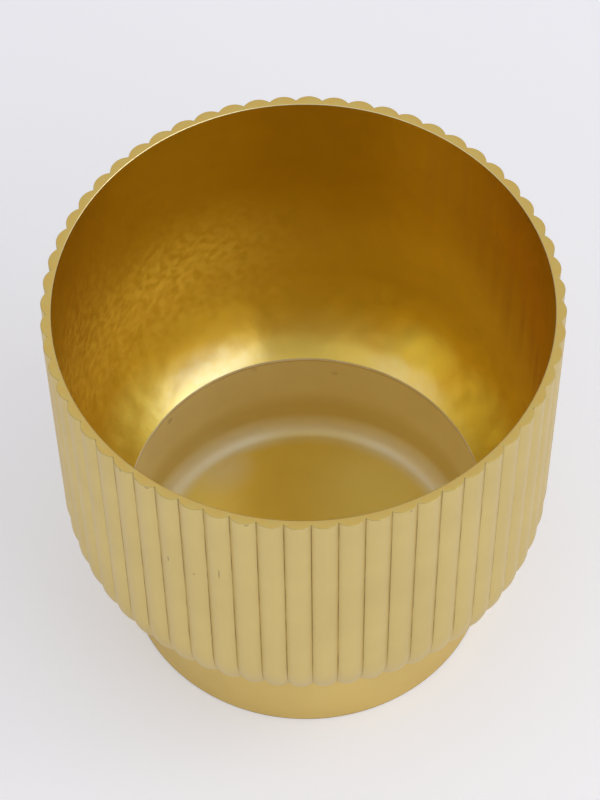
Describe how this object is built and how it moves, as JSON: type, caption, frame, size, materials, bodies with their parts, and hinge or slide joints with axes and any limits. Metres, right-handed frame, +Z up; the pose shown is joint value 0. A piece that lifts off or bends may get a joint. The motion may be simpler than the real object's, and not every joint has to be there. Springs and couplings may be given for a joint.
{
  "type": "ribbed bowl planter",
  "caption": "Round bowl planter with a ribbed outer wall, a smooth inside and a plain foot ring whose flat-floored well closes the bottom.",
  "frame": {"origin": "centre of the foot on the surface that the planter stands on", "axes": "+Z up along the planter's axis; the first groove between two ribs lies 1.1 degrees from +X"},
  "size_m": [0.1998, 0.1998, 0.187],
  "materials": {
    "bowl_gold": "satin gold lacquer",
    "foot_gold": "matte gold lacquer"
  },
  "bodies": {
    "root": {"bowl_shell": "bowl_gold", "foot_pan": "foot_gold"}
  },
  "joints": []
}
